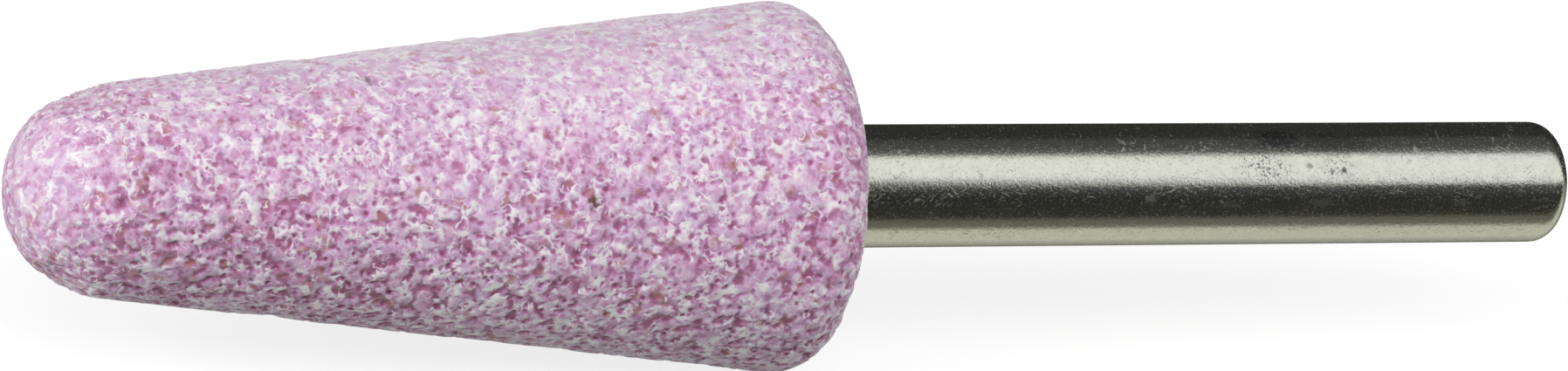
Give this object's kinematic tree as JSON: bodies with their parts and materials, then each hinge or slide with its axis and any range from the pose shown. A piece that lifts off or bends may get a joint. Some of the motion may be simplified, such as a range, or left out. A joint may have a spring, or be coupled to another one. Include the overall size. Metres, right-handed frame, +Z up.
{
  "type": "mounted point",
  "caption": "Tapered, round-nosed abrasive grinding head cemented on a plain round steel shank, for grinding and deburring in a collet or chuck.",
  "frame": {"origin": "centre of the head's rear face, where the shank leaves the head", "axes": "+X along the spindle axis towards the free end of the shank, -X towards the nose, +Z up"},
  "size_m": [0.081, 0.018, 0.018],
  "materials": {
    "abrasive": "coarse porous vitrified aluminium oxide, pink",
    "steel": "ground and lightly scratched",
    "cement": "dull set cement"
  },
  "bodies": {
    "root": {"grinding_head": "abrasive", "spindle": "steel", "bond_cement": "cement"}
  },
  "joints": []
}
